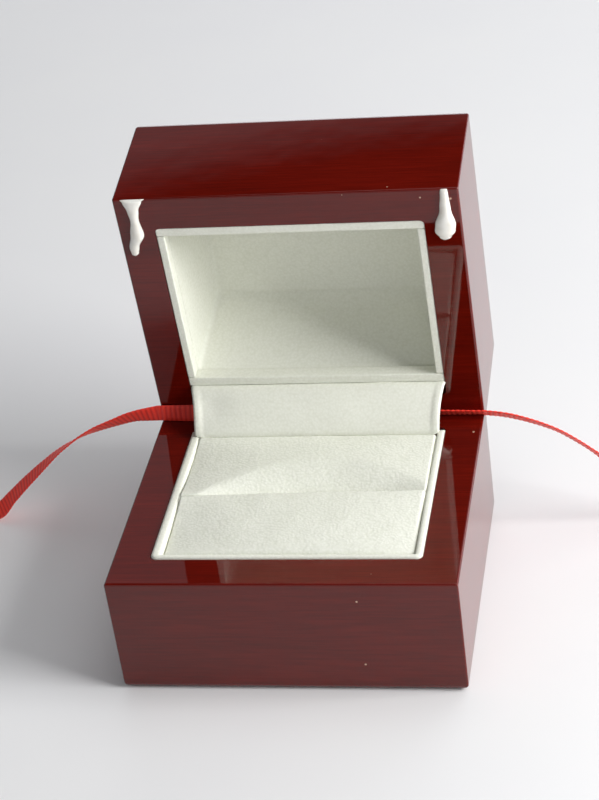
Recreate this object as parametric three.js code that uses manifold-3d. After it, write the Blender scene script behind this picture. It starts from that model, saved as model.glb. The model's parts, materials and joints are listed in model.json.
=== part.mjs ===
// Wooden ring box, standing open: a lacquered base and lid on a hidden spring hinge, a slotted ring
// pad, white linings, a hinge cover and a narrow ribbon that runs through the hinge line.
// Millimetres. X to the right, Y to the back, Z up. The origin is the centre of the underside.
//
// Both halves are described in "half coordinates": X and Y as above, and a height h that is 0 on the
// half's rim plane and negative down into its wood. The lid is the same kind of half, turned over.
import * as THREE from "three";
import { mergeVertices } from "three/addons/utils/BufferGeometryUtils.js";
import Module from "manifold-3d";

const wasm = await Module();
wasm.setup();

// ---------------------------------------------------------------- driving dimensions
const WIDTH = 60;
const DEPTH = 52.4;
const BASE_HEIGHT = 22.9;
const LID_HEIGHT = 23.3;
const RIM_GAP = 0.4; // between the two rims when the box is shut
const OPEN_ANGLE = 82.5 * (Math.PI / 180);
const PIVOT_SETBACK = 2.6; // hinge axis, in front of the back face
const EDGE_ROUND = 1.1;
const RIM_CHAMFER = 0.6;
const GAP = 0.3; // clearance between pieces that touch

const BASE_WALL = 6.6;
const BASE_FRONT_WALL = 6.9;
const LID_WALL = 6.44;
const REAR_WALL = 6.9;
const BASE_FLOOR = 5;
const LID_ROOF = 4;

const COLLAR_WIDTH = 1.6;
const COLLAR_DEPTH = 10;
const COLLAR_PROUD = 0.3;
const COLLAR_REAR_Y = 18.8;
const LID_STRIP_WIDTH = 1.5;
const LID_STRIP_DEPTH = 2.5;
const LID_STRIP_RECESS = 0.1;
const LID_WELL_REAR_Y = 16.2;
const LINER_THICKNESS = 0.9;
const LINER_SIDE_SLOPE = 2.8; // how far a side wall leans in by its floor
const LINER_FRONT_SLOPE = 1.5;
const LINER_REAR_SLOPE = 7.2;
const BOARD_THICKNESS = 0.8;

const PAD_COVER = 0.7;
const PAD_HALF_WIDTH = 21.1;
const PAD_FRONT_Y = -17.1;
const PAD_REAR_Y = 16.1;
const PAD_CREST = 1.2; // above the rim
const PAD_EDGE_DROP = 2.4; // below the rim, at the ends of each roll
const SLOT_Y = -0.5;
const SLOT_GAP = 4.6;
const SLOT_DEPTH = 9;

const LEAF_THICKNESS = 0.6;
const LEAF_HALF_WIDTH = 19.3;
const LEAF_TOP = -3.4;
const LEAF_BOTTOM = -14;
const EAR_THICKNESS = 0.7;
const BASE_EAR_X = 17.9;
const LID_EAR_X = 16.8;
const KNUCKLE_RADIUS = 1.2;
const PIN_RADIUS = 0.6;
const PIN_CLEARANCE = 0.15;
const PIN_START_X = 16.5;
const PIN_LENGTH = 2.6;
const EAR_DEPTH = 1.15; // height of an ear's arm, under the rim plane
const SCREW_X = 13;
const SCREW_HEIGHT = -9;
const SPRING_RADIUS = 4.4;
const SPRING_THICKNESS = 0.5;
const SPRING_HALF_WIDTH = 10;
const SPRING_HALF_ARC = 38 * (Math.PI / 180);

const FLAP_THICKNESS = 0.8;
const FLAP_TOP_WIDTH = 47;
const FLAP_BOTTOM_WIDTH = 45;
const RIBBON_WIDTH = 3.2;
const RIBBON_THICKNESS = 0.3;
const GLUE_HEIGHT = 0.9;

const HALF_WIDTH = WIDTH / 2;
const HALF_DEPTH = DEPTH / 2;
const PIVOT_Y = HALF_DEPTH - PIVOT_SETBACK;
const PIVOT_Z = BASE_HEIGHT + RIM_GAP / 2;
const PIVOT_H = RIM_GAP / 2; // the axis in half coordinates
const BEVEL_DROP = PIVOT_SETBACK * Math.tan(OPEN_ANGLE / 2);
const WELL_REAR_Y = HALF_DEPTH - REAR_WALL;

// ---------------------------------------------------------------- finishes
const wood = finish(0x4a1f18, 0.15);
const leatherette = finish(0xe9e8e6, 0.5);
const foam = finish(0xe8e4d2, 0.95);
const card = finish(0xb9a98c, 0.9);
const steel = finish(0xb8b9bb, 0.3, 1);
const brass = finish(0xb59b56, 0.35, 1);
const satin = finish(0xc9151b, 0.6);
const glue = finish(0xf4f4f2, 0.2);

function finish(color, roughness, metalness = 0) {
  return new THREE.MeshStandardMaterial({ color, roughness, metalness });
}

// ---------------------------------------------------------------- shape helpers
function box(x0, x1, y0, y1, z0, z1) {
  return new THREE.BoxGeometry(x1 - x0, y1 - y0, z1 - z0).translate(
    (x0 + x1) / 2,
    (y0 + y1) / 2,
    (z0 + z1) / 2,
  );
}

function extrude(shape, depth) {
  return new THREE.ExtrudeGeometry(shape, { depth, bevelEnabled: false, curveSegments: 6 });
}

// A (Y, Z) outline drawn out along X.
function extrudeAlongX(shape, x0, x1) {
  const turn = new THREE.Matrix4().makeBasis(
    new THREE.Vector3(0, 1, 0),
    new THREE.Vector3(0, 0, 1),
    new THREE.Vector3(1, 0, 0),
  );
  return extrude(shape, x1 - x0)
    .applyMatrix4(turn)
    .translate(x0, 0, 0);
}

// An (X, Z) outline drawn out along Y.
function extrudeAlongY(shape, y0, y1) {
  const turn = new THREE.Matrix4().makeBasis(
    new THREE.Vector3(1, 0, 0),
    new THREE.Vector3(0, 0, 1),
    new THREE.Vector3(0, -1, 0),
  );
  return extrude(shape, y1 - y0)
    .applyMatrix4(turn)
    .translate(0, y1, 0);
}

function rodAlongX(radius, x0, x1, y, z, sides = 20) {
  return new THREE.CylinderGeometry(radius, radius, x1 - x0, sides)
    .rotateZ(Math.PI / 2)
    .translate((x0 + x1) / 2, y, z);
}

function outline(points) {
  return new THREE.Shape(points.map(([a, b]) => new THREE.Vector2(a, b)));
}

function solid(geometry) {
  const bare = geometry.clone();
  bare.deleteAttribute("normal");
  bare.deleteAttribute("uv");
  const merged = mergeVertices(bare, 1e-4);
  return new wasm.Manifold(
    new wasm.Mesh({
      numProp: 3,
      vertProperties: new Float32Array(merged.attributes.position.array),
      triVerts: new Uint32Array(merged.index.array),
    }),
  );
}

function geometryOf(manifold) {
  const mesh = manifold.getMesh();
  return new THREE.BufferGeometry()
    .setAttribute("position", new THREE.BufferAttribute(mesh.vertProperties, 3))
    .setIndex(new THREE.BufferAttribute(mesh.triVerts, 1));
}

function cut(geometry, tools) {
  return geometryOf(tools.reduce((left, tool) => left.subtract(solid(tool)), solid(geometry)));
}

function join(geometries) {
  return geometryOf(geometries.map(solid).reduce((left, right) => left.add(right)));
}

function piece(name, geometry, material) {
  geometry.computeVertexNormals();
  const mesh = new THREE.Mesh(geometry, material);
  mesh.name = name;
  return mesh;
}

// ---------------------------------------------------------------- the wooden halves
function halfOutline(halfSpan, height, closeTop) {
  const shape = new THREE.Shape();
  shape.moveTo(-halfSpan, -height + EDGE_ROUND);
  shape.absarc(-halfSpan + EDGE_ROUND, -height + EDGE_ROUND, EDGE_ROUND, Math.PI, 1.5 * Math.PI);
  shape.absarc(halfSpan - EDGE_ROUND, -height + EDGE_ROUND, EDGE_ROUND, 1.5 * Math.PI, 2 * Math.PI);
  closeTop(shape);
  shape.lineTo(-halfSpan + RIM_CHAMFER, 0);
  shape.lineTo(-halfSpan, -RIM_CHAMFER);
  return shape;
}

function woodenHalf({ height, sideWall, frontWall, thickness }) {
  const across = halfOutline(HALF_WIDTH, height, (shape) => {
    shape.lineTo(HALF_WIDTH, -RIM_CHAMFER);
    shape.lineTo(HALF_WIDTH - RIM_CHAMFER, 0);
  });
  const along = halfOutline(HALF_DEPTH, height, (shape) => {
    shape.lineTo(HALF_DEPTH, -BEVEL_DROP);
    shape.lineTo(PIVOT_Y, 0);
  });
  const block = solid(extrudeAlongY(across, -HALF_DEPTH - 1, HALF_DEPTH + 1)).intersect(
    solid(extrudeAlongX(along, -HALF_WIDTH - 1, HALF_WIDTH + 1)),
  );
  const wellX = HALF_WIDTH - sideWall;
  const tools = [
    box(-wellX, wellX, frontWall - HALF_DEPTH, WELL_REAR_Y, thickness - height, 2),
    ...hingeMortises(),
    ...[-SCREW_X, SCREW_X].map(screwHole),
  ];
  return geometryOf(tools.reduce((left, tool) => left.subtract(solid(tool)), block));
}

function hingeMortises() {
  const reach = KNUCKLE_RADIUS + GAP;
  const start = WELL_REAR_Y - 1;
  const earInner = LID_EAR_X - 0.6;
  const earOuter = BASE_EAR_X + EAR_THICKNESS + 0.9;
  const springX = SPRING_HALF_WIDTH + 0.6;
  return [
    box(-earOuter, -earInner, start, PIVOT_Y + reach, PIVOT_H - reach - 0.2, 2),
    box(earInner, earOuter, start, PIVOT_Y + reach, PIVOT_H - reach - 0.2, 2),
    box(-springX, springX, start, PIVOT_Y - 2.7, -3.2, 2),
  ];
}

const SCREW_SHANK_RADIUS = 0.7;
const SCREW_SHANK_LENGTH = 4;
const SCREW_HEAD_RADIUS = 1.5;
const SCREW_HEAD_HEIGHT = 0.8;
const HOLE_CLEARANCE = 0.25;
const LEAF_FRONT_Y = WELL_REAR_Y - GAP - LEAF_THICKNESS;

function screwHole(x) {
  const length = SCREW_SHANK_LENGTH + 1.5;
  return new THREE.CylinderGeometry(
    SCREW_SHANK_RADIUS + HOLE_CLEARANCE,
    SCREW_SHANK_RADIUS + HOLE_CLEARANCE,
    length,
    12,
  ).translate(x, LEAF_FRONT_Y - 0.5 + length / 2, SCREW_HEIGHT);
}

// ---------------------------------------------------------------- hinge
function hingeLeaf(earX) {
  const plate = box(
    -LEAF_HALF_WIDTH,
    LEAF_HALF_WIDTH,
    LEAF_FRONT_Y,
    LEAF_FRONT_Y + LEAF_THICKNESS,
    LEAF_BOTTOM,
    LEAF_TOP,
  );
  const solids = [plate];
  const bores = [-SCREW_X, SCREW_X].map(screwHole);
  for (const side of [-1, 1]) {
    const inner = side * earX;
    const outer = side * (earX + EAR_THICKNESS);
    const x0 = Math.min(inner, outer);
    const x1 = Math.max(inner, outer);
    solids.push(box(x0, x1, LEAF_FRONT_Y, LEAF_FRONT_Y + LEAF_THICKNESS, LEAF_TOP - 1, -0.05));
    solids.push(box(x0, x1, LEAF_FRONT_Y, PIVOT_Y, -0.05 - EAR_DEPTH, -0.05));
    solids.push(rodAlongX(KNUCKLE_RADIUS, x0, x1, PIVOT_Y, PIVOT_H));
    bores.push(rodAlongX(PIN_RADIUS + PIN_CLEARANCE, x0 - 1, x1 + 1, PIVOT_Y, PIVOT_H));
  }
  return cut(join(solids), bores);
}

function screw() {
  const profile = outline([
    [0, 0],
    [SCREW_HEAD_RADIUS * 0.75, 0],
    [SCREW_HEAD_RADIUS, 0.35],
    [SCREW_HEAD_RADIUS, SCREW_HEAD_HEIGHT],
    [SCREW_SHANK_RADIUS, SCREW_HEAD_HEIGHT],
    [SCREW_SHANK_RADIUS, SCREW_HEAD_HEIGHT + SCREW_SHANK_LENGTH - 0.8],
    [0, SCREW_HEAD_HEIGHT + SCREW_SHANK_LENGTH],
  ]);
  return new THREE.LatheGeometry(profile.getPoints(), 16);
}

function screws(prefix) {
  return [-1, 1].map((side) => {
    const mesh = piece(prefix + (side < 0 ? "_left" : "_right"), screw(), brass);
    mesh.position.set(side * SCREW_X, LEAF_FRONT_Y - 0.1 - SCREW_HEAD_HEIGHT, SCREW_HEIGHT);
    return mesh;
  });
}

function pin(side) {
  const x0 = side < 0 ? -PIN_START_X - PIN_LENGTH : PIN_START_X;
  return rodAlongX(PIN_RADIUS, x0, x0 + PIN_LENGTH, PIVOT_Y, PIVOT_H, 16);
}

// A bowed steel strip, centred on the hinge axis, that the two leaves squeeze between them.
function springBow() {
  const shape = new THREE.Shape();
  const outer = SPRING_RADIUS + SPRING_THICKNESS / 2;
  const inner = SPRING_RADIUS - SPRING_THICKNESS / 2;
  shape.absarc(0, 0, outer, Math.PI - SPRING_HALF_ARC, Math.PI + SPRING_HALF_ARC);
  shape.absarc(0, 0, inner, Math.PI + SPRING_HALF_ARC, Math.PI - SPRING_HALF_ARC, true);
  shape.closePath();
  return extrudeAlongX(shape, -SPRING_HALF_WIDTH, SPRING_HALF_WIDTH);
}

// ---------------------------------------------------------------- base fittings
// One band, bent round the front corners of the well and open at the back.
function baseCollar() {
  const x = HALF_WIDTH - BASE_WALL - GAP;
  const front = BASE_FRONT_WALL - HALF_DEPTH + GAP;
  const inner = x - COLLAR_WIDTH;
  const innerFront = front + COLLAR_WIDTH;
  const round = 1.2;
  const band = new THREE.Shape();
  band.moveTo(-x, COLLAR_REAR_Y);
  band.lineTo(-x, front + round);
  band.absarc(-x + round, front + round, round, Math.PI, 1.5 * Math.PI);
  band.absarc(x - round, front + round, round, 1.5 * Math.PI, 2 * Math.PI);
  band.lineTo(x, COLLAR_REAR_Y);
  band.lineTo(inner, COLLAR_REAR_Y);
  band.lineTo(inner, innerFront);
  band.lineTo(-inner, innerFront);
  band.lineTo(-inner, COLLAR_REAR_Y);
  return extrude(band, COLLAR_DEPTH + COLLAR_PROUD).translate(0, 0, -COLLAR_DEPTH);
}

// The crown of one roll of the pad, from one end to the other, as points (y, h).
function crown(y0, y1, sink, steps = 12) {
  const middle = (y0 + y1) / 2;
  const half = (y1 - y0) / 2;
  return Array.from({ length: steps + 1 }, (_, i) => {
    const u = (2 * i) / steps - 1;
    const rise = (PAD_CREST + PAD_EDGE_DROP) * (1 - u ** 4);
    return [middle + u * half, rise - PAD_EDGE_DROP - sink];
  });
}

const SLOT_FRONT_Y = SLOT_Y - SLOT_GAP / 2;
const SLOT_REAR_Y = SLOT_Y + SLOT_GAP / 2;
const PAD_TUCK = -12;

// The cover's section: over the front roll, down and up through the slot, over the rear roll.
function padCover() {
  const t = PAD_COVER;
  const over = [
    [PAD_FRONT_Y, PAD_TUCK],
    ...crown(PAD_FRONT_Y, SLOT_FRONT_Y, 0),
    [SLOT_FRONT_Y, -SLOT_DEPTH],
    [SLOT_REAR_Y, -SLOT_DEPTH],
    ...crown(SLOT_REAR_Y, PAD_REAR_Y, 0),
    [PAD_REAR_Y, PAD_TUCK],
  ];
  const under = [
    [PAD_FRONT_Y + t, PAD_TUCK],
    ...crown(PAD_FRONT_Y + t, SLOT_FRONT_Y - t, t),
    [SLOT_FRONT_Y - t, -SLOT_DEPTH - t],
    [SLOT_REAR_Y + t, -SLOT_DEPTH - t],
    ...crown(SLOT_REAR_Y + t, PAD_REAR_Y - t, t),
    [PAD_REAR_Y - t, PAD_TUCK],
  ];
  const shape = outline([...under, ...over.reverse()]);
  return extrudeAlongX(shape, -PAD_HALF_WIDTH, PAD_HALF_WIDTH);
}

const BOARD_TOP = BASE_FLOOR - BASE_HEIGHT + GAP + BOARD_THICKNESS;

function foamBlock(y0, y1) {
  const inset = PAD_COVER + GAP;
  const bottom = BOARD_TOP + GAP;
  const top = crown(y0 + inset, y1 - inset, inset);
  const shape = outline([[y0 + inset, bottom], [y1 - inset, bottom], ...top.reverse()]);
  return extrudeAlongX(shape, GAP - PAD_HALF_WIDTH, PAD_HALF_WIDTH - GAP);
}

function baseFittings() {
  return [
    piece("base_collar", baseCollar(), leatherette),
    piece("ring_pad_cover", padCover(), leatherette),
    piece("foam_front", foamBlock(PAD_FRONT_Y, SLOT_FRONT_Y), foam),
    piece("foam_rear", foamBlock(SLOT_REAR_Y, PAD_REAR_Y), foam),
    piece(
      "pad_board",
      box(
        GAP - PAD_HALF_WIDTH,
        PAD_HALF_WIDTH - GAP,
        PAD_FRONT_Y,
        PAD_REAR_Y,
        BOARD_TOP - BOARD_THICKNESS,
        BOARD_TOP,
      ),
      card,
    ),
  ];
}

// ---------------------------------------------------------------- lid fittings
const LID_WELL_X = HALF_WIDTH - LID_WALL - GAP;
const LID_WELL_FRONT_Y = LID_WALL - HALF_DEPTH + GAP;
const LINER_RIM = -LID_STRIP_RECESS - LID_STRIP_DEPTH - GAP;
const LINER_FLOOR = LID_ROOF - LID_HEIGHT + 2 * GAP + BOARD_THICKNESS;

function lidStrips() {
  const top = -LID_STRIP_RECESS;
  const bottom = top - LID_STRIP_DEPTH;
  const inner = LID_WELL_X - LID_STRIP_WIDTH;
  const frontInner = LID_WELL_FRONT_Y + LID_STRIP_WIDTH;
  const rearInner = LID_WELL_REAR_Y - LID_STRIP_WIDTH;
  const strip = (name, x0, x1, y0, y1) =>
    piece(name, box(x0, x1, y0, y1, bottom, top), leatherette);
  return [
    strip("lid_strip_front", -LID_WELL_X, LID_WELL_X, LID_WELL_FRONT_Y, frontInner),
    strip("lid_strip_rear", -LID_WELL_X, LID_WELL_X, rearInner, LID_WELL_REAR_Y),
    strip("lid_strip_left", -LID_WELL_X, -inner, frontInner + GAP, rearInner - GAP),
    strip("lid_strip_right", inner, LID_WELL_X, frontInner + GAP, rearInner - GAP),
  ];
}

// A block that leans in towards its lower end. Each end is [half width, front Y, rear Y, height].
function tapered(lower, upper) {
  const block = new THREE.BoxGeometry(2, 1, 1);
  const corners = block.attributes.position;
  for (let i = 0; i < corners.count; i += 1) {
    const [halfWidth, front, rear, height] = corners.getZ(i) < 0 ? lower : upper;
    corners.setXYZ(
      i,
      corners.getX(i) * halfWidth,
      corners.getY(i) < 0 ? front : rear,
      height,
    );
  }
  return block;
}

// A cup of covered card. Its rear wall slopes most, to clear the hinge behind it.
function lidLiner() {
  const shell = (inset, floor, rim) =>
    tapered(
      [
        LID_WELL_X - LINER_SIDE_SLOPE - inset,
        LID_WELL_FRONT_Y + LINER_FRONT_SLOPE + inset,
        LID_WELL_REAR_Y - LINER_REAR_SLOPE - inset,
        floor,
      ],
      [LID_WELL_X - inset, LID_WELL_FRONT_Y + inset, LID_WELL_REAR_Y - inset, rim],
    );
  const hollow = shell(LINER_THICKNESS, LINER_FLOOR + LINER_THICKNESS, LINER_RIM + 0.01);
  return cut(shell(0, LINER_FLOOR, LINER_RIM), [hollow]);
}

// A run of dried glue on the rim: a flat cap, a narrow neck and a rounded drop at its end.
// Widths are given at distances along the run, which starts at the rim's front edge.
function glueRun(stations) {
  const left = stations.map(([along, from]) => new THREE.Vector2(from, along));
  const right = stations.map(([along, , to]) => new THREE.Vector2(to, along)).reverse();
  const shape = new THREE.Shape();
  shape.moveTo(left[0].x, left[0].y);
  shape.splineThru(left.slice(1));
  shape.lineTo(right[0].x, right[0].y);
  shape.splineThru(right.slice(1));
  return extrude(shape, GLUE_HEIGHT - 0.1).translate(0, 0, 0.1);
}

function lidFittings() {
  const boardBottom = LINER_FLOOR - GAP - BOARD_THICKNESS;
  const runLeft = glueRun([
    [-25.7, -28.3, -24.5],
    [-21.8, -27.5, -25.9],
    [-18.4, -28.1, -25.6],
    [-15.4, -28.7, -26.9],
    [-14.2, -28.3, -27.7],
  ]);
  const runRight = glueRun([
    [-25.6, 26.8, 28.1],
    [-21.8, 26.4, 28.3],
    [-18.4, 25.2, 29],
    [-16.6, 25.6, 27.8],
    [-15.7, 26.3, 26.9],
  ]);
  return [
    ...lidStrips(),
    piece("lid_liner", lidLiner(), leatherette),
    piece(
      "lid_board",
      box(
        -LID_WELL_X,
        LID_WELL_X,
        LID_WELL_FRONT_Y,
        LID_WELL_REAR_Y,
        boardBottom,
        boardBottom + BOARD_THICKNESS,
      ),
      card,
    ),
    piece("glue_run_left", runLeft, glue),
    piece("glue_run_right", runRight, glue),
  ];
}

// ---------------------------------------------------------------- flap and ribbon
// The flap hangs from the lid's lining to the back of the pad, a little wider at its top.
function hingeCover() {
  const top = new THREE.Vector3(0, 22.3, 30.2);
  const bottom = new THREE.Vector3(0, 17.1, 23.8);
  const length = top.distanceTo(bottom);
  const shape = outline([
    [-FLAP_BOTTOM_WIDTH / 2, 0],
    [FLAP_BOTTOM_WIDTH / 2, 0],
    [FLAP_TOP_WIDTH / 2, length],
    [-FLAP_TOP_WIDTH / 2, length],
  ]);
  const across = new THREE.Vector3(1, 0, 0);
  const up = top.clone().sub(bottom).normalize();
  const turn = new THREE.Matrix4().makeBasis(across, up, across.clone().cross(up));
  return extrude(shape, FLAP_THICKNESS)
    .translate(0, 0, -FLAP_THICKNESS / 2)
    .applyMatrix4(turn)
    .translate(bottom.x, bottom.y, bottom.z);
}

// The ribbon leans across the hinge line, its lower edge on the base's rim.
function ribbonThrough() {
  const low = new THREE.Vector2(21.9, 23.1);
  const high = new THREE.Vector2(22.96, 26.08);
  const side = high.clone().sub(low).normalize();
  const off = new THREE.Vector2(-side.y, side.x).multiplyScalar(RIBBON_THICKNESS / 2);
  const corner = (point, sign) => [point.x + sign * off.x, point.y + sign * off.y];
  const shape = outline([corner(low, -1), corner(high, -1), corner(high, 1), corner(low, 1)]);
  return extrudeAlongX(shape, -HALF_WIDTH, HALF_WIDTH);
}

// Each tail leaves its side of the box, droops to the table and ends there in a loose curl.
const LEFT_TAIL = [
  [-30.3, 22.9, 24.6],
  [-35.3, 22.9, 23.9],
  [-39.2, 22.9, 22.6],
  [-42.9, 22.9, 21.2],
  [-46.2, 22.9, 19.6],
  [-48.4, 22.9, 18.2],
  [-51.6, 22.9, 15.9],
  [-56.1, 22.9, 11.9],
  [-59.3, 22.9, 8.9],
  [-62.5, 22.9, 5.7],
  [-65.5, 22.95, 2.6],
  [-68.5, 23.3, 1.7],
  [-73.5, 24.2, 1.65],
  [-80, 25.5, 1.65],
  [-87, 25.2, 1.65],
  [-93, 22, 1.65],
  [-95.5, 15.5, 1.65],
  [-93, 8.9, 1.65],
  [-86, 6, 1.65],
  [-79.6, 8.8, 1.65],
  [-77.5, 15, 1.65],
];
const RIGHT_TAIL = [
  [30.3, 22.9, 23.55],
  [33, 22.9, 23.2],
  [35.9, 22.9, 22.5],
  [40, 22.9, 21],
  [43.9, 22.9, 19],
  [48.9, 22.9, 15.2],
  [53.6, 22.9, 10.8],
  [58.2, 23, 6.4],
  [62, 23.3, 3.2],
  [66, 23.8, 1.8],
  [73, 25, 1.65],
  [81, 25.6, 1.65],
  [88, 22.6, 1.65],
  [91, 15.5, 1.65],
  [88, 8.6, 1.65],
  [81, 5.8, 1.65],
  [74.8, 8.8, 1.65],
  [73, 15, 1.65],
];

function ribbonTail(route) {
  const curve = new THREE.CatmullRomCurve3(route.map((p) => new THREE.Vector3(...p)));
  const sides = 8;
  const section = outline(
    Array.from({ length: sides }, (_, i) => {
      const turn = (2 * Math.PI * (i + 0.5)) / sides;
      return [(RIBBON_WIDTH / 2) * Math.cos(turn), (RIBBON_WIDTH / 2) * Math.sin(turn)];
    }),
  );
  return new THREE.ExtrudeGeometry(section, { steps: 48, extrudePath: curve });
}

// ---------------------------------------------------------------- assembly
const baseHalf = new THREE.Group();
baseHalf.position.z = BASE_HEIGHT;
baseHalf.add(
  piece(
    "base_shell",
    woodenHalf({
      height: BASE_HEIGHT,
      sideWall: BASE_WALL,
      frontWall: BASE_FRONT_WALL,
      thickness: BASE_FLOOR,
    }),
    wood,
  ),
  ...baseFittings(),
  piece("hinge_base_leaf", hingeLeaf(BASE_EAR_X), steel),
  piece("hinge_pin_left", pin(-1), steel),
  piece("hinge_pin_right", pin(1), steel),
  ...screws("base_leaf_screw"),
);

// The lid's half is upside down over the base when shut, and swings up and back about the axis.
const lidHalf = new THREE.Group();
lidHalf.position.set(0, -PIVOT_Y, PIVOT_H);
lidHalf.scale.z = -1;
lidHalf.add(
  piece(
    "lid_shell",
    woodenHalf({
      height: LID_HEIGHT,
      sideWall: LID_WALL,
      frontWall: LID_WALL,
      thickness: LID_ROOF,
    }),
    wood,
  ),
  ...lidFittings(),
  piece("hinge_lid_leaf", hingeLeaf(LID_EAR_X), steel),
  ...screws("lid_leaf_screw"),
);
const lidSwing = new THREE.Group();
lidSwing.position.set(0, PIVOT_Y, PIVOT_Z);
lidSwing.rotation.x = -OPEN_ANGLE;
lidSwing.add(lidHalf);

const springSwing = new THREE.Group();
springSwing.position.set(0, PIVOT_Y, PIVOT_Z);
springSwing.rotation.x = -OPEN_ANGLE / 2;
springSwing.add(piece("hinge_spring", springBow(), steel));

const ringBox = new THREE.Group();
ringBox.add(
  baseHalf,
  lidSwing,
  springSwing,
  piece("hinge_cover", hingeCover(), leatherette),
  piece("ribbon_through", ribbonThrough(), satin),
  piece("ribbon_left_tail", ribbonTail(LEFT_TAIL), satin),
  piece("ribbon_right_tail", ribbonTail(RIGHT_TAIL), satin),
);

export default ringBox;
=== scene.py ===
"""A wooden ring box standing open: lacquered halves, white linings, a ring pad and a ribbon.

Lengths in the classes are millimetres, in the box's own frame: X to the right, Y to the back and Z
up, with the origin under the middle of the base. Each half of the box also has half coordinates, in
which h is the height above its own rim plane, so both halves are described in the same words.
"""
import json
import logging
import math
from dataclasses import dataclass
from enum import Enum
from typing import Callable, Iterable, Sequence

import bmesh
import bpy
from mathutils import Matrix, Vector, noise


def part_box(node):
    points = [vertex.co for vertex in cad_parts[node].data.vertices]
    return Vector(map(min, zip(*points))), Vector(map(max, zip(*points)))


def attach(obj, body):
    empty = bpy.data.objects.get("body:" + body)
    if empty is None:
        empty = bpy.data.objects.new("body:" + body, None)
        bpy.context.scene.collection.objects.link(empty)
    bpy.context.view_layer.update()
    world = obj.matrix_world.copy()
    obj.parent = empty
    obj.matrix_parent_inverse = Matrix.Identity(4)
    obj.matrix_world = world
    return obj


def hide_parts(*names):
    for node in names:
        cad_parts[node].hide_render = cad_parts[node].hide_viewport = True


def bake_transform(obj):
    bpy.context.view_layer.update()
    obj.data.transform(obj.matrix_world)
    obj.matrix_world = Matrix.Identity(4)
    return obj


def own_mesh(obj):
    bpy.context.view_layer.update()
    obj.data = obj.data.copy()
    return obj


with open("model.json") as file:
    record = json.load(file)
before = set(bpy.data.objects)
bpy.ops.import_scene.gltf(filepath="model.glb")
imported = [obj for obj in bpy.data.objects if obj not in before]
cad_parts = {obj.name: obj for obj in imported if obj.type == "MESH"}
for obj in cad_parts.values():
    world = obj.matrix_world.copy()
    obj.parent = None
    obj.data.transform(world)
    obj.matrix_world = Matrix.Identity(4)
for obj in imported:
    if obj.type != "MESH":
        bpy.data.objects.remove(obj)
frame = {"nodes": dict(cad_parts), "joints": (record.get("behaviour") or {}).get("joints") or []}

LOG = logging.getLogger("ring_box")
MM = 0.001

Point = tuple[float, float, float]
Outline = list[tuple[float, float]]
Piece = bpy.types.Object
Mesh = bmesh.types.BMesh
Tree = bpy.types.NodeTree
Socket = bpy.types.NodeSocket


# ------------------------------------------------------------------ the frame's own measures
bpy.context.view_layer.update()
BASE_LOW, BASE_HIGH = (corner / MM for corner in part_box("base_shell"))
HALF_WIDTH = BASE_HIGH.x
HALF_DEPTH = BASE_HIGH.y
BASE_HEIGHT = BASE_HIGH.z
HINGE = next(joint for joint in frame["joints"] if joint["name"] == "lid_hinge")
PIVOT = Vector(HINGE["pos_m"]) / MM
PIVOT_H = PIVOT.z - BASE_HEIGHT
OPEN_ANGLE = math.radians(82.5)
LID_HEIGHT = 23.3


class Half(Enum):
    """The two halves of the box, each on its own body."""

    BASE = "base"
    LID = "lid"

    def place(self, x: float, y: float, h: float) -> Vector:
        """Turn half coordinates into a point of the open box.

        Args:
            x: distance to the right of the middle.
            y: distance behind the middle.
            h: height above the half's rim plane, negative inside its wood.

        Returns:
            The point in metres.
        """
        if self is Half.BASE:
            return Vector((x, y, BASE_HEIGHT + h)) * MM
        forward, up = y - PIVOT.y, PIVOT_H - h
        cosine, sine = math.cos(OPEN_ANGLE), math.sin(OPEN_ANGLE)
        turned = (forward * cosine + up * sine, up * cosine - forward * sine)
        return Vector((x, PIVOT.y + turned[0], PIVOT.z + turned[1])) * MM


# ------------------------------------------------------------------ small helpers
def linear(hex_colour: str) -> tuple[float, float, float, float]:
    """Turn an sRGB hex colour such as "#4a1f18" into linear RGBA."""
    parts = [int(hex_colour[i : i + 2], 16) / 255 for i in (1, 3, 5)]
    rgb = [c / 12.92 if c <= 0.04045 else ((c + 0.055) / 1.055) ** 2.4 for c in parts]
    return (*rgb, 1.0)


def smooth(value: float, low: float, high: float) -> float:
    """Go smoothly from 0 at low to 1 at high."""
    t = min(1.0, max(0.0, (value - low) / (high - low)))
    return t * t * (3 - 2 * t)


def mix(a: float, b: float, t: float) -> float:
    """Go straight from a at t = 0 to b at t = 1."""
    return a + (b - a) * t


def edge_drop(distance: float, radius: float) -> float:
    """Give the drop of a rounded edge at a distance in from its outer limit."""
    if distance >= radius:
        return 0.0
    out = 1 - max(distance, 0.0) / radius
    return radius * (1 - math.sqrt(max(0.0, 1 - out * out)))


def packed_to_ends(count: int, evenness: float) -> list[float]:
    """Give rising values from 0 to 1 that lie closer together near both ends.

    Args:
        count: how many values there are.
        evenness: 0 crowds them as a cosine does, and 1 spaces them evenly.

    Returns:
        The values.
    """
    even = [i / (count - 1) for i in range(count)]
    return [mix((1 - math.cos(math.pi * t)) / 2, t, evenness) for t in even]


def rounded_rectangle(
    x0: float, x1: float, y0: float, y1: float, radius: float, steps: int = 4
) -> Outline:
    """Go round a rectangle with rounded corners, anticlockwise from its lower right corner."""
    points = []
    corners = ((x1, y0, -90), (x1, y1, 0), (x0, y1, 90), (x0, y0, 180))
    for x, y, start in corners:
        cx = x - math.copysign(radius, x - (x0 + x1) / 2)
        cy = y - math.copysign(radius, y - (y0 + y1) / 2)
        for i in range(steps + 1):
            angle = math.radians(start + 90 * i / steps)
            points.append((cx + radius * math.cos(angle), cy + radius * math.sin(angle)))
    return points


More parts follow.
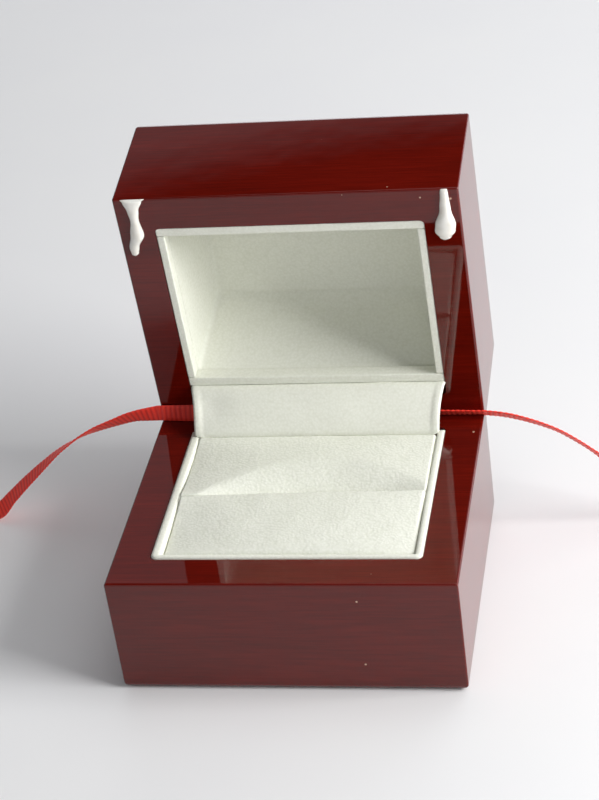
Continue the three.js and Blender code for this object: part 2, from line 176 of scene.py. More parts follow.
def even_curve(
    points: Sequence[Point], step: float | None = None, count: int | None = None
) -> list[Vector]:
    """Follow a smooth curve through points, in even steps along its length.

    Args:
        points: the points that the curve goes through.
        step: the distance between samples, or
        count: the number of samples, both ends included.

    Returns:
        The samples, from the first point on.
    """
    route = [Vector(p) for p in points]
    route = [2 * route[0] - route[1], *route, 2 * route[-1] - route[-2]]
    dense = []
    for a, b, c, d in zip(route, route[1:], route[2:], route[3:]):
        for i in range(60):
            t = i / 60
            bend = (2 * a - 5 * b + 4 * c - d) * t**2 + (3 * b - a - 3 * c + d) * t**3
            dense.append(0.5 * (2 * b + (c - a) * t + bend))
    dense.append(route[-2])
    if count is not None:
        step = sum((b - a).length for a, b in zip(dense, dense[1:])) / (count - 1)
    even, travelled = [dense[0]], 0.0
    for a, b in zip(dense, dense[1:]):
        gap = (b - a).length
        while travelled + gap >= step * len(even) and len(even) != count:
            even.append(a.lerp(b, (step * len(even) - travelled) / gap))
        travelled += gap
    if count is not None and len(even) < count:
        even.append(dense[-1])
    return even


# ------------------------------------------------------------------ meshes
def loft(bm: Mesh, loops: Sequence[Sequence[Vector]]) -> None:
    """Join closed loops of equal length with quads, and fill the first and the last."""
    rows = [[bm.verts.new(p) for p in loop] for loop in loops]
    count = len(rows[0])
    for lower, upper in zip(rows, rows[1:]):
        for i in range(count):
            j = (i + 1) % count
            bm.faces.new((lower[i], lower[j], upper[j], upper[i]))
    bm.faces.new(reversed(rows[0]))
    bm.faces.new(rows[-1])


def mesh_object(name: str, build: Callable[[Mesh], None]) -> Piece:
    """Make an object whose mesh is built by a function and faces outwards.

    Args:
        name: the object's name.
        build: fills the empty bmesh it is given.

    Returns:
        The object, linked to the scene.
    """
    bm = bmesh.new()
    build(bm)
    bmesh.ops.recalc_face_normals(bm, faces=bm.faces)
    mesh = bpy.data.meshes.new(name)
    bm.to_mesh(mesh)
    bm.free()
    mesh.shade_smooth()
    obj = bpy.data.objects.new(name, mesh)
    bpy.context.scene.collection.objects.link(obj)
    return obj


def add_modifier(obj: Piece, kind: str, **settings: object) -> bpy.types.Modifier:
    """Add a modifier with its settings."""
    modifier = obj.modifiers.new(kind.lower(), kind)
    for key, value in settings.items():
        setattr(modifier, key, value)
    return modifier


def apply_modifiers(obj: Piece) -> None:
    """Turn an object's modifiers into its mesh."""
    bpy.context.view_layer.update()
    shaped = obj.evaluated_get(bpy.context.evaluated_depsgraph_get())
    obj.data = bpy.data.meshes.new_from_object(shaped)
    obj.modifiers.clear()


def carve(obj: Piece, cutters: Iterable[Piece]) -> None:
    """Cut away what the cutters cover, and remove the cutters."""
    cutters = list(cutters)
    for cutter in cutters:
        add_modifier(obj, "BOOLEAN", object=cutter, operation="DIFFERENCE", solver="EXACT")
    apply_modifiers(obj)
    for cutter in cutters:
        bpy.data.objects.remove(cutter)


def soften(obj: Piece, width: float, angle: float = 32, segments: int = 2) -> None:
    """Round every edge sharper than an angle, and even out the shading.

    Args:
        obj: the piece.
        width: the rounding's width in millimetres.
        angle: the least angle, in degrees, that counts as an edge.
        segments: how many facets the rounding has.
    """
    add_modifier(
        obj,
        "BEVEL",
        width=width * MM,
        segments=segments,
        limit_method="ANGLE",
        angle_limit=math.radians(angle),
        harden_normals=True,
    )
    add_modifier(obj, "WEIGHTED_NORMAL", keep_sharp=True)


# ------------------------------------------------------------------ finishes
def add_node(
    tree: Tree, kind: str, inputs: dict | None = None, **settings: object
) -> bpy.types.Node:
    """Add one shader node with its settings, values and links.

    Args:
        tree: the material's node tree.
        kind: the node's type name.
        inputs: socket name or number to a value, or to the output socket that feeds it.
        settings: the node's own properties.

    Returns:
        The node.
    """
    node = tree.nodes.new(kind)
    for key, value in settings.items():
        setattr(node, key, value)
    for key, value in (inputs or {}).items():
        if isinstance(value, Socket):
            tree.links.new(value, node.inputs[key])
        else:
            node.inputs[key].default_value = value
    return node


MADE: dict[str, bpy.types.Material] = {}


@dataclass(frozen=True)
class Finish:
    """A named surface finish, made once and shared by the pieces that have it."""

    name: str
    slot: str

    def material(self) -> bpy.types.Material:
        """Return the finish's material, and build it on first use."""
        known = MADE.get(self.name)
        if known is not None:
            return known
        made = MADE[self.name] = bpy.data.materials.new(self.name)
        made.use_nodes = True
        tree = made.node_tree
        tree.nodes.clear()
        output = tree.nodes.new("ShaderNodeOutputMaterial")
        tree.links.new(self.surface(tree), output.inputs["Surface"])
        return made

    def surface(self, tree: Tree) -> Socket:
        """Build the shader and return its output."""
        raise NotImplementedError

    def grid(self, tree: Tree, size: float | Point) -> Socket:
        """Give object coordinates in which one unit is the given size in millimetres."""
        sizes = size if isinstance(size, tuple) else (size,) * 3
        place = add_node(tree, "ShaderNodeTexCoord")
        scale = tuple(1 / (s * MM) for s in sizes)
        inputs = {"Vector": place.outputs["Object"], "Scale": scale}
        return add_node(tree, "ShaderNodeMapping", inputs).outputs["Vector"]

    def clouds(
        self, tree: Tree, size: float | Point, detail: float, roughness: float = 0.5
    ) -> bpy.types.Node:
        """Add noise whose features have the given size in millimetres."""
        inputs = {"Vector": self.grid(tree, size), "Scale": 1.0, "Detail": detail}
        return add_node(tree, "ShaderNodeTexNoise", {**inputs, "Roughness": roughness})

    def arithmetic(self, tree: Tree, kind: str, *terms: object) -> Socket:
        """Add one sum on numbers or sockets, and return its result."""
        node = add_node(tree, "ShaderNodeMath", dict(enumerate(terms)), operation=kind)
        return node.outputs[0]

    def relief(
        self,
        tree: Tree,
        height: Socket,
        strength: float,
        depth: float,
        sunken: bool = False,
    ) -> Socket:
        """Turn a height into a bumped normal.

        Args:
            tree: the node tree.
            height: the height's socket.
            strength: how much of the bump shows.
            depth: the bump's full height in millimetres.
            sunken: whether high values lie low.

        Returns:
            The normal.
        """
        inputs = {"Height": height, "Strength": strength, "Distance": depth * MM}
        return add_node(tree, "ShaderNodeBump", inputs, invert=sunken).outputs["Normal"]

    def shader(self, tree: Tree, inputs: dict) -> Socket:
        """Add the surface shader with its inputs."""
        return add_node(tree, "ShaderNodeBsdfPrincipled", inputs).outputs["BSDF"]

    def ramp(self, tree: Tree, factor: Socket, stops: Sequence[tuple[float, str]]) -> Socket:
        """Turn a factor into colours through a list of (position, hex colour) stops."""
        node = add_node(tree, "ShaderNodeValToRGB", {"Fac": factor})
        elements = node.color_ramp.elements
        while len(elements) < len(stops):
            elements.new(0.5)
        for element, (position, colour) in zip(elements, stops):
            element.position = position
            element.color = linear(colour)
        return node.outputs["Color"]


@dataclass(frozen=True)
class MahoganyLacquer(Finish):
    """Red-stained mahogany veneer under thick, polished polyester lacquer.

    Long noise streaks along the grain give the stain its figure. The coat gives sharp mirror
    reflections, slightly uneven as a polished coat is, and a few grains of pale dust lie on it.
    """

    dark: str = "#4d0b05"
    middle: str = "#5a0d05"
    light: str = "#661107"
    streak: float = 0.3
    figure: float = 8.0
    swell: float = 5.0
    gloss_index: float = 1.5
    dust: str = "#c9a58c"
    dust_spacing: float = 2.6
    dust_chance: float = 0.2
    dust_size: float = 0.11

    def surface(self, tree: Tree) -> Socket:
        """Build streaked stain and dust under a clear coat."""
        figure = self.figure
        fine = self.clouds(tree, (figure, self.streak, self.streak), 4.0, 0.6)
        broad = self.clouds(tree, (5 * figure, figure, figure), 1.0)
        terms = (broad.outputs["Fac"], 0.5, fine.outputs["Fac"])
        streaks = self.arithmetic(tree, "MULTIPLY_ADD", *terms)
        stops = ((0.45, self.dark), (0.75, self.middle), (1.05, self.light))
        polish = self.clouds(tree, self.swell, 1.0)
        colours = {
            "Factor": self.specks(tree),
            "A": self.ramp(tree, streaks, stops),
            "B": linear(self.dust),
        }
        mixed = add_node(tree, "ShaderNodeMix", colours, data_type="RGBA")
        return self.shader(
            tree,
            {
                "Base Color": mixed.outputs["Result"],
                "Roughness": 0.4,
                "IOR": self.gloss_index,
                "Specular IOR Level": 0.0,
                "Coat Weight": 1.0,
                "Coat Roughness": 0.03,
                "Coat IOR": self.gloss_index,
                "Coat Normal": self.relief(tree, polish.outputs["Fac"], 0.05, 0.15),
            },
        )

    def specks(self, tree: Tree) -> Socket:
        """Mark a few grains of dust: only some cells have one, and each is a fraction of a cell."""
        inputs = {"Vector": self.grid(tree, self.dust_spacing), "Scale": 1.0}
        cells = add_node(tree, "ShaderNodeTexVoronoi", inputs)
        chance = add_node(tree, "ShaderNodeSeparateColor", {"Color": cells.outputs["Color"]})
        size = add_node(
            tree,
            "ShaderNodeMapRange",
            {
                "Value": chance.outputs["Red"],
                "From Min": 1.0 - self.dust_chance,
                "From Max": 1.0,
                "To Min": 0.0,
                "To Max": self.dust_size,
            },
        )
        terms = (cells.outputs["Distance"], size.outputs["Result"])
        return self.arithmetic(tree, "LESS_THAN", *terms)


@dataclass(frozen=True)
class Leatherette(Finish):
    """White embossed polyurethane leatherette, with a fine pebble and a soft satin shine."""

    light: str = "#f0f1e7"
    # The shade colour is painted shade in the pebble's valleys, and also the darker side of random
    # patches of tone.
    shade: str = "#e0e2d4"
    pebble: float = 0.45
    emboss: float = 0.5
    patch: float = 0.5

    def surface(self, tree: Tree) -> Socket:
        """Build pebbled cells whose valleys are painted slightly darker, as shade."""
        wander = self.clouds(tree, 1.6, 2.0)
        terms = {
            0: wander.outputs["Color"],
            1: (0.7, 0.7, 0.7),
            2: self.grid(tree, self.pebble),
        }
        place = add_node(tree, "ShaderNodeVectorMath", terms, operation="MULTIPLY_ADD")
        inputs = {"Vector": place.outputs[0], "Scale": 1.0, "Randomness": 0.9}
        cells = add_node(tree, "ShaderNodeTexVoronoi", inputs, feature="SMOOTH_F1")
        valleys = cells.outputs["Distance"]
        patches = self.clouds(tree, 7.0, 3.0)
        # Painted shade: the tone rises in the valleys between the cells, on top of random patches.
        tone = self.arithmetic(tree, "MULTIPLY_ADD", patches.outputs["Fac"], self.patch, valleys)
        return self.shader(
            tree,
            {
                "Base Color": self.ramp(tree, tone, ((0.2, self.light), (1.1, self.shade))),
                "Roughness": 0.52,
                "IOR": 1.48,
                "Specular IOR Level": 0.4,
                "Normal": self.relief(tree, valleys, self.emboss, 0.12, sunken=True),
            },
        )


@dataclass(frozen=True)
class Grosgrain(Finish):
    """Red ribbed polyester ribbon: ribs catch the light, and the furrows between them are painted
    darker, as shade.
    """

    crest: str = "#fc3a28"
    furrow_shade: str = "#de251a"
    bloom: str = "#ff8a7a"
    thread: float = 0.16

    def surface(self, tree: Tree) -> Socket:
        """Build rib colour from the mesh's rib height, with painted shade in the furrows, over fine
        warp threads.
        """
        rib = add_node(tree, "ShaderNodeAttribute", attribute_name="rib_height")
        # Painted shade: the colour darkens from the rib crests down into the furrows.
        stops = ((0.0, self.furrow_shade), (0.75, self.crest))
        threads = self.clouds(tree, self.thread, 2.0)
        return self.shader(
            tree,
            {
                "Base Color": self.ramp(tree, rib.outputs["Fac"], stops),
                "Roughness": 0.5,
                "Sheen Weight": 0.35,
                "Sheen Roughness": 0.4,
                "Sheen Tint": linear(self.bloom),
                "Normal": self.relief(tree, threads.outputs["Fac"], 0.35, 0.05),
            },
        )


@dataclass(frozen=True)
class DriedGlue(Finish):
    """White wood glue, dried to a smooth, glossy, slightly cloudy skin."""

    body: str = "#f3f1ea"
    cloud: str = "#e2ddd0"

    def surface(self, tree: Tree) -> Socket:
        """Build a milky gloss."""
        milk = self.clouds(tree, 2.5, 2.0)
        stops = ((0.4, self.body), (0.8, self.cloud))
        return self.shader(
            tree,
            {
                "Base Color": self.ramp(tree, milk.outputs["Fac"], stops),
                "Roughness": 0.22,
                "Coat Weight": 0.6,
                "Coat Roughness": 0.08,
            },
        )


@dataclass(frozen=True)
class Speckled(Finish):
    """A plain hidden or background material: two close tones in soft patches of a stated size."""

    light: str = "#ffffff"
    dark: str = "#dddddd"
    patch: float = 1.0
    roughness: float = 0.8
    metallic: float = 0.0
    bump: float = 0.2

    def surface(self, tree: Tree) -> Socket:
        """Build two tones of noise with a matching bump."""
        spots = self.clouds(tree, self.patch, 4.0).outputs["Fac"]
        return self.shader(
            tree,
            {
                "Base Color": self.ramp(tree, spots, ((0.35, self.dark), (0.65, self.light))),
                "Roughness": self.roughness,
                "Metallic": self.metallic,
                "Normal": self.relief(tree, spots, self.bump, 0.05),
            },
        )


MAHOGANY = MahoganyLacquer("polished_mahogany", "mahogany_lacquer")
# The pad's leatherette is stretched over foam, and its pebble shows clearly.
PAD_LEATHERETTE = Leatherette("leatherette_pad", "white_leatherette", emboss=0.5)
# The linings are glued to card, which presses the pebble nearly flat.
LINING_LEATHERETTE = Leatherette(
    "leatherette_lining", "white_leatherette", light="#eeefe4", shade="#e2e3d5", emboss=0.14, patch=0.25
)
GROSGRAIN = Grosgrain("ribbed_ribbon", "grosgrain_ribbon")
GLUE = DriedGlue("glue_skin", "dried_glue")
# Grey-buff lining card: matt, with short fibres.
CARD = Speckled("buff_card", "lining_card", "#bfae90", "#a3926f", 0.8, 0.9, 0.0, 0.3)
# Zinc-plated spring steel: a cool bright metal, faintly mottled.
STEEL = Speckled("plated_steel", "hinge_steel", "#c9cbcd", "#a9abae", 1.5, 0.3, 1.0, 0.05)
# Turned brass: a warm yellow metal, dulled by handling.
BRASS = Speckled("turned_brass", "brass", "#c9a95c", "#a5853d", 1.0, 0.32, 1.0, 0.05)
# Painted table top: matt and nearly even.
TABLE_TOP = Speckled("table_top", "table_top", "#ececec", "#eaeaeb", 60.0, 0.6, 0.0, 0.0)


def dress(
    obj: Piece, finish: Finish, body: str, stands_for: Sequence[str] = ()
) -> Piece:
    """Give a piece its finish and its body, and hide the CAD nodes that it stands for.

    Args:
        obj: the piece, in place.
        finish: its surface.
        body: the CAD body it moves with.
        stands_for: the CAD nodes that it hides.

    Returns:
        The piece.
    """
    obj.data.materials.clear()
    obj.data.materials.append(finish.material())
    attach(obj, body)
    if stands_for:
        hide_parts(*stands_for)
    LOG.info("%s: %s on %s", obj.name, finish.name, body)
    return obj


# ------------------------------------------------------------------ the wooden halves
@dataclass
class WoodHalf:
    """One half of the box: a solid block with rounded far edges, a well and hinge mortises."""

    half: Half
    node: str
    height: float
    side_wall: float
    front_wall: float
    thickness: float
    edge_round: float = 1.5
    rim_round: float = 0.42
    corner: float = 0.3
    rear_wall: float = 6.9
    well_corner: float = 0.9
    setback: float = 2.6

    def build(self) -> Piece:
        """Build, carve and dress the half."""
        obj = mesh_object(self.node + "_wood", self.block)
        carve(obj, [self.well(), self.hinge_bevel(), *self.mortises()])
        soften(obj, 0.14)
        return dress(obj, MAHOGANY, self.half.value, [self.node])

    def ring(self, inset: float, h: float) -> list[Vector]:
        """Go round the block at one height, a little inside its sides."""
        x, y = HALF_WIDTH - inset, HALF_DEPTH - inset
        outline = rounded_rectangle(-x, x, -y, y, self.corner)
        return [self.half.place(px, py, h) for px, py in outline]

    def block(self, bm: Mesh) -> None:
        """Stack rings from the rounded far face to the rounded rim."""
        rings = []
        for i in range(8):
            angle = math.radians(90 * i / 7)
            inset = self.edge_round * (1 - math.sin(angle))
            h = self.edge_round * (1 - math.cos(angle)) - self.height
            rings.append(self.ring(inset, h))
        for i in range(5):
            angle = math.radians(90 * i / 4)
            inset = self.rim_round * (1 - math.cos(angle))
            rings.append(self.ring(inset, self.rim_round * (math.sin(angle) - 1)))
        loft(bm, rings)

    def prism(self, name: str, outline: Outline, h0: float, h1: float) -> Piece:
        """Make a cutter from a plan outline between two heights."""
        loops = [[self.half.place(x, y, h) for x, y in outline] for h in (h0, h1)]
        return mesh_object(name, lambda bm: loft(bm, loops))

    def well(self) -> Piece:
        """Make the cutter of the lined well."""
        x = HALF_WIDTH - self.side_wall
        outline = rounded_rectangle(
            -x, x, self.front_wall - HALF_DEPTH, HALF_DEPTH - self.rear_wall, self.well_corner
        )
        return self.prism("well", outline, self.thickness - self.height, 3)

    def hinge_bevel(self) -> Piece:
        """Make the cutter that bevels the rear rim, so that the open halves meet flat."""
        drop = self.setback * math.tan(OPEN_ANGLE / 2)
        over = 3.0
        section = [
            (HALF_DEPTH - self.setback, 0.0),
            (HALF_DEPTH + over, -drop * (self.setback + over) / self.setback),
            (HALF_DEPTH + over, 2.0),
            (HALF_DEPTH - self.setback, 2.0),
        ]
        x = HALF_WIDTH + 1
        loops = [[self.half.place(side * x, y, h) for y, h in section] for side in (-1, 1)]
        return mesh_object("hinge_bevel", lambda bm: loft(bm, loops))

    def mortises(self) -> list[Piece]:
        """Make the cutters for the hinge's ears and its spring."""
        y0 = HALF_DEPTH - self.rear_wall - 1
        ears = ((-19.5, -16.2, PIVOT.y + 1.5, -1.5), (16.2, 19.5, PIVOT.y + 1.5, -1.5))
        spring = (-10.6, 10.6, PIVOT.y - 2.7, -3.2)
        return [
            self.prism("mortise", [(x0, y0), (x1, y0), (x1, y1), (x0, y1)], bottom, 2)
            for x0, x1, y1, bottom in (*ears, spring)
        ]


# ------------------------------------------------------------------ base linings
@dataclass
class BaseCollar:
    """The wrapped band round the pad: three sides, round corners at the front, open at the back."""

    left: float = 1.75
    right: float = 1.35
    front: float = 1.0
    outer_x: float = 23.37
    front_y: float = -19.27
    left_end: float = 19.2
    right_end: float = 18.8
    corner: float = 1.1
    proud: float = 0.42
    depth: float = 9.0
    top_round: float = 0.55
    end_round: float = 1.3

    def build(self) -> Piece:
        """Build and dress the band."""
        obj = mesh_object("base_collar_band", self.band)
        return dress(obj, LINING_LEATHERETTE, "base", ["base_collar"])

    def route(self, across: float) -> list[tuple[float, float, float]]:
        """Follow the band at a share of its width.

        Args:
            across: 0 at the wood, 1 at the pad.

        Returns:
            Points (x, y, distance from the nearer rear end).
        """
        left = -self.outer_x + across * self.left
        right = self.outer_x - across * self.right
        front = self.front_y + across * self.front
        radius = max(self.corner * (1 - across), 0.2)
        far = 9.0
        ends = [self.end_round * s for s in (0, 0.08, 0.2, 0.4, 0.65, 1)]
        down = [(left, self.left_end - e, e) for e in ends]
        down += [(left, mix(self.left_end, front, t), far) for t in (0.3, 0.5, 0.7, 0.9)]
        turn = [math.radians(15 * i) for i in range(7)]
        down += [
            (left + radius * (1 - math.cos(a)), front + radius * (1 - math.sin(a)), far)
            for a in turn
        ]
        along = [(mix(left, right, t), front, far) for t in (0.2, 0.4, 0.6, 0.8)]
        up = [
            (right - radius * (1 - math.sin(a)), front + radius * (1 - math.cos(a)), far)
            for a in turn
        ]
        up += [(right, mix(self.right_end, front, t), far) for t in (0.9, 0.7, 0.5, 0.3)]
        up += [(right, self.right_end - e, e) for e in reversed(ends)]
        return down + along + up

    def section(self) -> Outline:
        """Go round the band's section: (share of the width, height)."""
        width = (self.left + self.right) / 2
        points = [(0.0, -self.depth)]
        for i in range(5):
            angle = math.radians(180 - 22.5 * i)
            across = (self.top_round * (1 + math.cos(angle))) / width
            points.append((across, self.proud - self.top_round * (1 - math.sin(angle))))
        for i in range(5):
            angle = math.radians(90 - 22.5 * i)
            across = 1 - (self.top_round * (1 - math.cos(angle))) / width
            points.append((across, self.proud - self.top_round * (1 - math.sin(angle))))
        points.append((1.0, -self.depth))
        return points

    def band(self, bm: Mesh) -> None:
        """Sweep the section along the band, with its rear ends rounded down."""
        lines = []
        for across, h in self.section():
            line = []
            for x, y, from_end in self.route(across):
                top = self.proud - edge_drop(from_end, self.end_round)
                line.append(Half.BASE.place(x, y, min(h, top)))
            lines.append(line)
        loft(bm, [list(loop) for loop in zip(*lines)])


@dataclass
class PadRoll:
    """One roll of the ring pad: leatherette drawn over foam, crowned, and soft at its edges."""

    name: str
    x0: float
    x1: float
    front: Callable[[float], float]
    rear: Callable[[float], float]
    crown: Callable[[float, float, float], float]
    rounds: tuple[float, float, float, float]
    bottom: float = -16.0
    across: int = 84
    along: int = 40

    def top(self, x: float, y: float, t: float) -> float:
        """Give the height of the leatherette at a place on the roll.

        Args:
            x: distance to the right.
            y: distance to the back.
            t: 0 at the roll's front edge, 1 at its rear edge.

        Returns:
            The height above the rim plane.
        """
        left, right, front, rear = self.rounds
        drop = edge_drop(x - self.x0, left) + edge_drop(self.x1 - x, right)
        drop += edge_drop(y - self.front(x), front) + edge_drop(self.rear(x) - y, rear)
        spot = Vector((x * 0.16, y * 0.2, self.bottom + self.x0))
        ripple = 0.1 * noise.noise(spot) + 0.035 * noise.noise(spot * 3.1)
        return self.crown(x, y, t) - drop + ripple

    def shape(self, bm: Mesh) -> None:
        """Build the crown as a grid, and close it with sides and a flat bottom."""
        us, ts = packed_to_ends(self.across, 0.35), packed_to_ends(self.along, 0.3)
        grid = []
        for u in us:
            x = mix(self.x0, self.x1, u)
            y0, y1 = self.front(x), self.rear(x)
            row = [(x, mix(y0, y1, t), self.top(x, mix(y0, y1, t), t)) for t in ts]
            grid.append(row)
        verts = [[bm.verts.new(Half.BASE.place(*p)) for p in row] for row in grid]
        for a, b in zip(verts, verts[1:]):
            for i in range(len(ts) - 1):
                bm.faces.new((a[i], b[i], b[i + 1], a[i + 1]))
        places = [(i, 0) for i in range(self.across)]
        places += [(self.across - 1, j) for j in range(1, self.along)]
        places += [(i, self.along - 1) for i in range(self.across - 2, -1, -1)]
        places += [(0, j) for j in range(self.along - 2, 0, -1)]
        rim = [verts[i][j] for i, j in places]
        previous = rim
        for h in (-3.5, -9.0, self.bottom):
            ring = [bm.verts.new(Half.BASE.place(*grid[i][j][:2], h)) for i, j in places]
            for k in range(len(rim)):
                n = (k + 1) % len(rim)
                bm.faces.new((previous[k], ring[k], ring[n], previous[n]))
            previous = ring
        bm.faces.new(previous)

    def build(self, stands_for: Sequence[str]) -> Piece:
        obj = mesh_object(self.name, self.shape)
        dress(obj, PAD_LEATHERETTE, "base", stands_for)
        return obj


@dataclass
class RingPad:
    """The pad in the base: a firm front roll and a rear roll that dips to the slot between them.
    """

    left_x: float = -21.62
    right_x: float = 22.0
    front_y: float = -18.2
    rear_y: float = 16.62
    slot_y: float = -1.15
    slot_skew: float = 0.027
    slot_gap: float = 0.09
    arch: float = 2.2
    arch_power: float = 2.3
    peak_x: float = 2.5
    front_height: float = 0.7
    rear_height: float = 0.85
    hollow_half: float = 21.5
    dip: float = 3.5
    dip_reach: float = 9.5
    pressed: float = 0.92

    def slot(self, x: float) -> float:
        """Give the slot's line, which runs a little askew."""
        return self.slot_y + self.slot_skew * x

    def bow(self, x: float) -> float:
        """Give the height lost towards the ends, where the rolls round down."""
        half = (self.right_x - self.left_x) / 2
        return self.arch * abs((x - self.peak_x) / (half + self.peak_x)) ** self.arch_power

    def front_crown(self, x: float, y: float, t: float) -> float:
        """Give the front roll's height, which ends at a crisp and nearly straight edge at the slot."""
        belly = math.sin(math.pi * t)
        bowed = mix(0.6, 0.05, t) + 0.4 * belly
        return self.front_height + 0.15 * t + 0.3 * belly - bowed * self.bow(x)

    def rear_crown(self, x: float, y: float, t: float) -> float:
        """Give the rear roll's height: a hollow sinks to the slot, widest right of the middle."""
        belly = math.sin(math.pi * t)
        lens = max(0.0, 1 - ((x - self.peak_x) / self.hollow_half) ** 2)
        reach = self.dip_reach * lens + 0.5
        near = max(0.0, 1 - (y - self.slot(x)) / reach)
        bowed = 0.05 + 0.6 * belly
        hollow = self.dip * lens * near**1.5
        return self.rear_height + 0.5 * belly - 0.3 * t - bowed * self.bow(x) - hollow

    def build(self) -> list[Piece]:
        """Build both rolls."""
        gap = self.slot_gap
        front = PadRoll(
            "ring_pad_front_roll",
            self.left_x + 0.12,
            self.right_x - 0.03,
            lambda x: self.front_y,
            lambda x: self.slot(x) - gap,
            self.front_crown,
            (0.3, 0.6, 1.3, 0.35),
        )
        rear = PadRoll(
            "ring_pad_rear_roll",
            self.left_x,
            self.right_x,
            lambda x: self.slot(x) + gap,
            lambda x: self.rear_y,
            self.rear_crown,
            (0.3, 0.4, 0.35, 0.5),
        )
        front_roll = front.build(["ring_pad_cover", "foam_front"])
        rear_roll = rear.build(["foam_rear"])
        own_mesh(rear_roll)
        return [front_roll, rear_roll]


# ------------------------------------------------------------------ lid linings
@dataclass
class LidLining:
    """The lid's lining: four wrapped strips at its mouth and a soft-cornered liner behind them."""

    outer_x: float = 23.5
    front_y: float = -19.7
    rear_y: float = 16.2
    front_width: float = 1.7
    side_width: float = 1.35
    rear_width: float = 1.8
    strip_depth: float = 2.5
    recess: float = 0.05
    seam: float = 0.12
    liner_wall: float = 1.2
    depth: float = 16.9
    side_slope: float = 2.7
    front_slope: float = 1.5
    rear_slope: float = 7.2
    corner: float = 0.9
    fold: float = 0.8
    skin: float = 0.7

    def build(self) -> list[Piece]:
        """Build the strips and the liner."""
        x, seam = self.outer_x, self.seam
        side_front = self.front_y + self.front_width + seam
        side_rear = self.rear_y - self.rear_width - seam
        inner = x - self.side_width
        strips = {
            "lid_strip_front": (-x, x, self.front_y, self.front_y + self.front_width),
            "lid_strip_rear": (-x, x, self.rear_y - self.rear_width, self.rear_y),
            "lid_strip_left": (-x, -inner, side_front, side_rear),
            "lid_strip_right": (inner, x, side_front, side_rear),
        }
        pieces = [self.strip(node, *limits) for node, limits in strips.items()]
        liner = mesh_object("lid_liner_cup", self.cup)
        return [*pieces, dress(liner, LINING_LEATHERETTE, "lid", ["lid_liner"])]

    def strip(self, node: str, x0: float, x1: float, y0: float, y1: float) -> Piece:
        """Build one wrapped strip with soft edges."""
        top = -self.recess
        outline = rounded_rectangle(x0, x1, y0, y1, 0.16, 2)
        loops = [[Half.LID.place(x, y, h) for x, y in outline] for h in (top - self.strip_depth, top)]
        obj = mesh_object(node + "_wrapped", lambda bm: loft(bm, loops))
        soften(obj, 0.42, 50, 4)
        return dress(obj, LINING_LEATHERETTE, "lid", [node])

    def wall_loop(self, inset: float, h: float, slope: float, radius: float) -> list[Vector]:
        """Go round the liner at one depth.

        Args:
            inset: how far inside the strips' outer limits the loop is.
            h: its height.
            slope: the share of the walls' lean that it has, 0 at the mouth and 1 at the floor.
            radius: its corner radius.

        Returns:
            The loop, in metres.
        """
        x = self.outer_x - inset - slope * self.side_slope
        y0 = self.front_y + inset + slope * self.front_slope
        y1 = self.rear_y - inset - slope * self.rear_slope
        return [Half.LID.place(*p, h) for p in rounded_rectangle(-x, x, y0, y1, radius, 6)]

    def cup(self, bm: Mesh) -> None:
        """Loft the liner: up its outside, over its lip and down into the leaning hollow."""
        lip = -self.recess - self.strip_depth - 0.05
        floor = -self.depth
        wall, fold = self.liner_wall, self.fold
        loops = [
            self.wall_loop(wall - self.skin, floor - self.skin, 1.0, 0.6),
            self.wall_loop(0.15, lip - 0.6, 0.0, 0.6),
            self.wall_loop(0.15, lip, 0.0, 0.6),
            self.wall_loop(wall, lip, 0.0, 0.9),
        ]
        for share in (0.06, 0.25, 0.5, 0.75, 0.93):
            sag = 0.25 * math.sin(math.pi * share)
            loops.append(self.wall_loop(wall - sag, mix(lip, floor, share), share, self.corner))
        for i in range(1, 6):
            angle = math.radians(90 * i / 5)
            inward = fold * (1 - math.cos(angle))
            h = floor + 0.07 * (lip - floor) * (1 - math.sin(angle))
            loops.append(self.wall_loop(wall + inward, h, 1.0, self.corner))
        for inset, sag in ((4.0, 0.12), (7.0, 0.2), (10.0, 0.25)):
            loops.append(self.wall_loop(wall + inset, floor - sag, 1.0, self.corner))
        loft(bm, loops)


